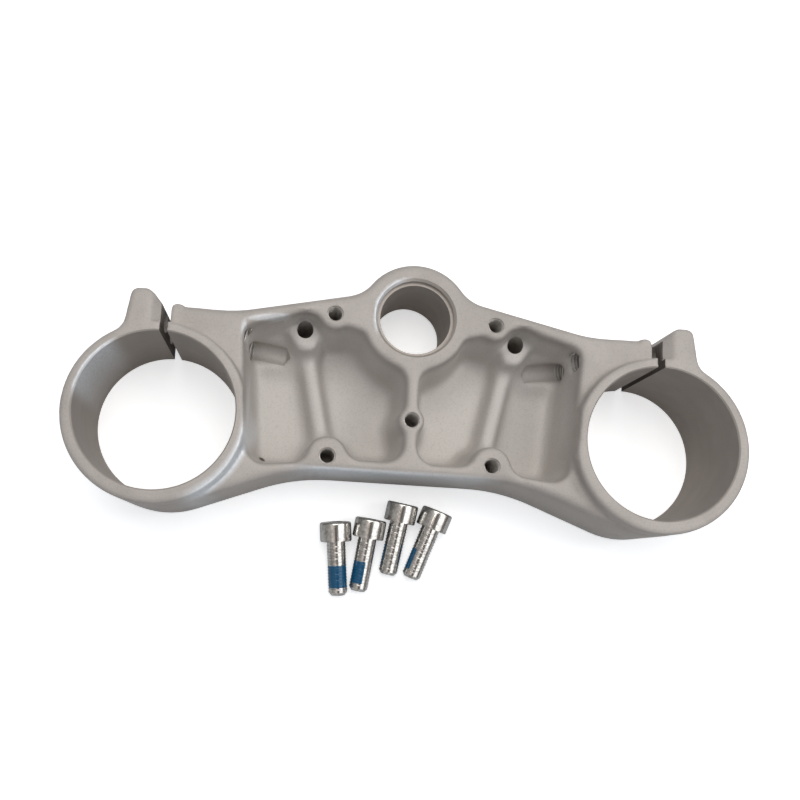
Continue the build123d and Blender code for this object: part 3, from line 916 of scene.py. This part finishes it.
def from_tree(name, tree, names, values):
    """A plain mesh made by a tree with the given inputs."""
    holder = new_object(name, bpy.data.meshes.new(name))
    step = holder.modifiers.new(name, "NODES")
    step.node_group = tree
    for label, value in values.items():
        step[names[label]] = value
    applied(holder)
    mesh = holder.data
    bpy.data.objects.remove(holder)
    if not mesh.polygons:
        raise RuntimeError(f"the tree {tree.name} made nothing for {name}")
    return mesh


def joined(name, meshes):
    """One object out of several meshes, with the materials of the first."""
    work = bmesh.new()
    for mesh in meshes:
        work.from_mesh(mesh)
    result = mesh_of(work, name)
    for material in meshes[0].materials:
        result.materials.append(material)
    return new_object(name, result)


class TRIPLE_CLAMP_OT_casting(bpy.types.Operator):
    """Make the softened casting with its machined holes"""

    bl_idname = "triple_clamp.casting"
    bl_label = "Clamp casting"

    def execute(self, context):
        look = context.scene.casting_look
        made = new_object("clamp_casting", filled_casting(look))
        self.soften_casting(made, look)
        cut(made, bore_tools(look), "bores")
        cut(made, slit_tools(look), "slits")
        cut(made, pinch_tools(look), "pinch_holes")
        mesh = made.data
        mesh.materials.clear()
        for material in (blasted_material(look), machined_material(look), sawn_material(look)):
            mesh.materials.append(material)
        mesh.polygons.foreach_set("material_index", surface_kinds(mesh, look).astype(np.int32))
        note_marks(mesh)
        mesh.shade_smooth()
        mesh.set_sharp_from_angle(angle=look.crisp)
        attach(made, "root")
        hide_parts("clamp_body")
        return {"FINISHED"}

    @staticmethod
    def soften_casting(made, look):
        """Makes the solids one on a grid, softens them, most of all in the pockets, and thins the mesh."""
        grid = made.modifiers.new("grid", "REMESH")
        grid.mode = "VOXEL"
        grid.voxel_size = look.cell * 1.0
        applied(made)
        points = points_of(made.data)
        slit_share, upper_loss, upper_wall = 0.15, 0.93, (0.012, 0.027)
        soften(made.data, look.passes, np.where(near_slit(points, look), slit_share, 1.0))
        depth = 1 - upper_loss * smooth_step(points[:, 2], *upper_wall)
        soften(made.data, look.pocket_passes, near_pocket(points) * depth)
        draw_out(made.data, look)
        thin = made.modifiers.new("thin", "DECIMATE")
        thin.ratio = min(1.0, look.triangles / (2 * len(made.data.polygons)))
        applied(made)


class TRIPLE_CLAMP_OT_threads(bpy.types.Operator):
    """Make the threads of the pinch holes and of the tapped holes in the face"""

    bl_idname = "triple_clamp.threads"
    bl_label = "Threads"

    def execute(self, context):
        clamp, look = context.scene.casting_look, context.scene.thread_look
        tree, names = hole_thread_tree()
        body = bpy.data.objects["clamp_casting"]
        shared = {"Clamp": body, "Ridge": look.ridge, "Material": thread_material(look)}
        reach = 0.0004
        pinch = {"Radius": clamp.tapped_radius, "Length": look.pinch_length, "Pitch": look.pinch_pitch,
                 "Reach": clamp.tapped_radius + reach}
        face = {"Radius": FACE_HOLE_RADIUS, "Length": clamp.hole_depth * 0.8, "Pitch": look.face_pitch,
                "Reach": FACE_HOLE_RADIUS + reach, "Axis": Vector((0, 0, -1))}
        meshes = []
        for place, axis in pinch_axes(clamp):
            values = {**shared, **pinch, "Place": place - axis * look.start, "Axis": -axis}
            meshes.append(from_tree("pinch_thread", tree, names, values))
        for place in face_holes(clamp):
            values = {**shared, **face, "Place": place - Vector((0, 0, clamp.hole_chamfer * 1.5))}
            meshes.append(from_tree("face_thread", tree, names, values))
        made = joined("tapped_threads", meshes)
        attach(made, "root")
        return {"FINISHED"}


class TRIPLE_CLAMP_OT_screws(bpy.types.Operator):
    """Make the four pinch screws that lie in front of the clamp"""

    bl_idname = "triple_clamp.screws"
    bl_label = "Pinch screws"

    def execute(self, context):
        look = context.scene.screw_look
        material = screw_material(look)
        dress = self.dress(look, material)
        for number, (x, y, turn, roll) in enumerate(SCREW_PLACES, 1):
            blank = self.blank(look)
            whole = joined(f"pinch_screw_{number}", [blank.data, dress])
            bpy.data.objects.remove(blank)
            mesh = whole.data
            self.note_patch(mesh, look, radians(roll))
            mesh.transform(self.resting_place(look, x * MM, y * MM, radians(turn)))
            mesh.materials.clear()
            mesh.materials.append(material)
            mesh.shade_smooth()
            mesh.set_sharp_from_angle(angle=look.crisp)
            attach(whole, "root")
            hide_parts(f"pinch_bolt_{number}")
        return {"FINISHED"}

    @staticmethod
    def dress(look, material):
        """The ribs of the head and the thread of the shank, as one mesh."""
        tree, names = screw_dress_tree()
        core = look.head_radius - look.rib_height
        return from_tree("screw_dress", tree, names, {
            "Ribs": look.ribs,
            "Head": core - look.rib_height,
            "Rib width": pi * core / look.ribs * 0.72,
            "Rib height": 2 * look.rib_height,
            "Rib length": look.head_height - 2 * look.head_edge,
            "Rib middle": look.head_height / 2 + look.head_edge * 0.4,
            "Radius": look.shank_radius - look.ridge,
            "Length": look.shank_length - look.tip_chamfer - look.pitch,
            "Pitch": look.pitch,
            "Ridge": look.ridge,
            "Start": look.head_height + look.pitch * 0.8,
            "Material": material,
        })

    @staticmethod
    def blank(look):
        """A screw with its socket but without ribs and thread, along Z from the head's top."""
        core = look.head_radius - look.rib_height
        root = look.shank_radius - 1.4 * look.ridge
        head = look.head_height
        end = head + look.shank_length - TIP_ROOM
        edge, ring_step = look.head_edge, 0.0005
        turns = np.linspace(0, pi / 2, 6)
        rim = [(core - edge * (1 - sin(turn)), edge * (1 - cos(turn))) for turn in turns]
        under = [(core, head - 0.0005), (core - 0.0002, head - 0.0001), (core - 0.0006, head)]
        shank = [(root, distance) for distance in np.arange(head, end - look.tip_chamfer, ring_step)]
        tip = [(root, end - look.tip_chamfer), (look.shank_radius - look.tip_chamfer, end)]
        work = bmesh.new()
        add_turned(work, ((0, 0), *rim, *under, *shank, *tip, (0, end)), ORIGIN, sides=104)
        made = new_object("screw_blank", mesh_of(work, "screw_blank"))
        corner = look.hexagon / 2 / cos(pi / 6)
        bottom, drill_point = look.hexagon_depth, 0.0012
        socket = ((0, -OVER), (corner, -OVER), (corner, bottom), (0, bottom + drill_point))
        work = bmesh.new()
        add_turned(work, socket, ORIGIN, sides=6)
        cut(made, work, "socket")
        return made

    @staticmethod
    def resting_place(look, x, y, heading):
        """Place of a screw that lies on the rim of its head and the end of its shank."""
        tilt = atan2(look.head_radius - look.shank_radius, look.shank_length - look.tip_chamfer)
        rise = look.head_height * sin(tilt) + look.head_radius * cos(tilt) + BED_ROOM
        axis = Vector((cos(heading) * cos(tilt), sin(heading) * cos(tilt), -sin(tilt)))
        across = Vector((-sin(heading), cos(heading), 0))
        turn = Matrix((across, axis.cross(across), axis)).transposed().to_4x4()
        return Matrix.Translation((x, y, rise)) @ turn

    @staticmethod
    def note_patch(mesh, look, roll):
        """Notes on the mesh how much the blue patch covers it."""
        points = points_of(mesh)
        x, y, z = points.T
        soft_turn, soft_end = 0.25, 0.0005
        inside = (look.patch_spread - turn_between(np.arctan2(-x, y), roll)) / soft_turn
        inside = np.minimum(inside, (z - look.patch_start) / soft_end)
        inside = np.minimum(inside, (look.patch_end - z) / soft_end)
        on_shank = plan_distance(points) < look.shank_radius * 1.05
        note_share(mesh, "patch", (inside + 0.5) * on_shank)


class TRIPLE_CLAMP_OT_stage(bpy.types.Operator):
    """Make the floor, the lights, the surroundings and the camera"""

    bl_idname = "triple_clamp.stage"
    bl_label = "Stage"

    def execute(self, context):
        look = context.scene.stage_look
        work = bmesh.new()
        bmesh.ops.create_grid(work, x_segments=1, y_segments=1, size=3.0)
        floor = new_object("studio_floor", mesh_of(work, "studio_floor"))
        floor.data.materials.append(self.floor_material(look))
        self.surroundings(context.scene, look)
        self.lamp("overhead_light", look.key, 0.7, (-0.10, 0.30, 1.0), (1.0, 0.98, 0.96))
        self.lamp("side_light", look.side, 0.22, (0.70, 0.05, 0.80), (1.0, 0.98, 0.96))
        self.lamp("front_light", look.front, 0.6, (-0.25, -0.95, 0.55), (0.90, 0.95, 1.0))
        self.camera(context.scene)
        return {"FINISHED"}

    @staticmethod
    def seen(tree):
        """1 for a ray from the camera or through glass, 0 for others, and whether a ray is mirrored."""
        path = tree.nodes.new("ShaderNodeLightPath")
        camera, through = path.outputs["Is Camera Ray"], path.outputs["Is Transmission Ray"]
        return number_step(tree, "MAXIMUM", camera, through), path.outputs["Is Glossy Ray"]

    def floor_material(self, look):
        """A pale floor that whitens towards the camera and keeps the object's shadow."""
        made, tree, surface = shader("pale_floor", roughness=0.9, metallic=0.0)
        surface.inputs["Specular IOR Level"].default_value = 0.0
        straight, _ = self.seen(tree)
        glow = tree.nodes.new("ShaderNodeEmission")
        both = tree.nodes.new("ShaderNodeAddShader")
        wire(tree,
             (blend_colours(tree, "MIX", straight, look.bounce, look.floor), surface.inputs["Base Color"]),
             (number_step(tree, "MULTIPLY", straight, look.glow), glow.inputs["Strength"]),
             (surface.outputs["BSDF"], both.inputs[0]),
             (glow.outputs["Emission"], both.inputs[1]),
             (both.outputs["Shader"], tree.nodes["Material Output"].inputs["Surface"]))
        return made

    def surroundings(self, scene, look):
        """White to the eye, an even sky that is dimmer low in front, and the bands that metal mirrors."""
        world = bpy.data.worlds.new("studio")
        world.use_nodes = True
        tree = world.node_tree
        straight, mirrored = self.seen(tree)
        way = tree.nodes.new("ShaderNodeSeparateXYZ")
        tree.links.new(tree.nodes.new("ShaderNodeTexCoord").outputs["Generated"], way.inputs["Vector"])
        lean = number_step(tree, "ARCTAN2", way.outputs["X"], way.outputs["Z"])
        lean = number_step(tree, "ADD", number_step(tree, "DIVIDE", lean, pi), 0.5)
        rise = number_step(tree, "MULTIPLY", way.outputs["Y"], 0.5)
        rise = number_step(tree, "ADD", way.outputs["Z"], rise)
        sky = scaled((0.92, 0.99, 1.07), look.sky)
        even = ramp(tree, number_step(tree, "ADD", rise, 0.5), ((0.0, scaled(sky, 0.5)), (0.55, sky)))
        light = blend_colours(tree, "MIX", mirrored, even, ramp(tree, lean, BANDS))
        gain = number_step(tree, "MULTIPLY", mirrored, look.band_gain - 1)
        back = tree.nodes["Background"]
        wire(tree,
             (blend_colours(tree, "MIX", straight, light, grey(1.0)), back.inputs["Color"]),
             (number_step(tree, "ADD", gain, 1.0), back.inputs["Strength"]))
        scene.world = world
        scene.view_settings.view_transform = "Standard"

    @staticmethod
    def lamp(name, power, size, place, tone):
        """A square soft light that faces the object."""
        light = bpy.data.lights.new(name, "AREA")
        light.energy = power
        light.size = size
        light.color = tone
        made = new_object(name, light)
        made.location = place
        made.rotation_euler = (Vector((0, -0.03, 0.02)) - Vector(place)).to_track_quat("-Z", "Y").to_euler()

    @staticmethod
    def camera(scene):
        """The camera of the photograph, fitted to the round edges of the bores."""
        data = bpy.data.cameras.new("camera")
        data.sensor_width = 36.0
        data.lens = 34.0
        data.shift_x = 0.0753
        data.shift_y = 0.0835
        data.clip_start = 0.01
        made = new_object("camera", data)
        made.matrix_world = Matrix((
            (0.99626, -0.06429, -0.05766, -0.043295),
            (0.05575, 0.98871, -0.13910, -0.100728),
            (0.06595, 0.13536, 0.98860, 0.317445),
            (0, 0, 0, 1)))
        scene.camera = made


class TRIPLE_CLAMP_PT_panel(bpy.types.Panel):
    """Lists the pieces of the triple clamp"""

    bl_idname = "TRIPLE_CLAMP_PT_panel"
    bl_label = "Triple clamp"
    bl_space_type = "VIEW_3D"
    bl_region_type = "UI"
    bl_category = "Triple clamp"

    def draw(self, context):
        for operator in OPERATORS:
            self.layout.operator(operator.bl_idname)


OPERATORS = (
    TRIPLE_CLAMP_OT_casting,
    TRIPLE_CLAMP_OT_threads,
    TRIPLE_CLAMP_OT_screws,
    TRIPLE_CLAMP_OT_stage,
)
SETTINGS = (
    ("casting_look", CastingSettings),
    ("thread_look", ThreadSettings),
    ("screw_look", ScrewSettings),
    ("stage_look", StageSettings),
)


def register():
    """Registers the settings, the operators and the panel."""
    for name, group in SETTINGS:
        bpy.utils.register_class(group)
        setattr(bpy.types.Scene, name, PointerProperty(type=group))
    for made in (*OPERATORS, TRIPLE_CLAMP_PT_panel):
        bpy.utils.register_class(made)


def unregister():
    """Takes back what register did."""
    for made in (TRIPLE_CLAMP_PT_panel, *reversed(OPERATORS)):
        bpy.utils.unregister_class(made)
    for name, group in reversed(SETTINGS):
        delattr(bpy.types.Scene, name)
        bpy.utils.unregister_class(group)


def main():
    """Registers the add-on and makes every piece."""
    register()
    bpy.ops.triple_clamp.casting()
    bpy.ops.triple_clamp.threads()
    bpy.ops.triple_clamp.screws()
    bpy.ops.triple_clamp.stage()


if __name__ == "__main__":
    main()
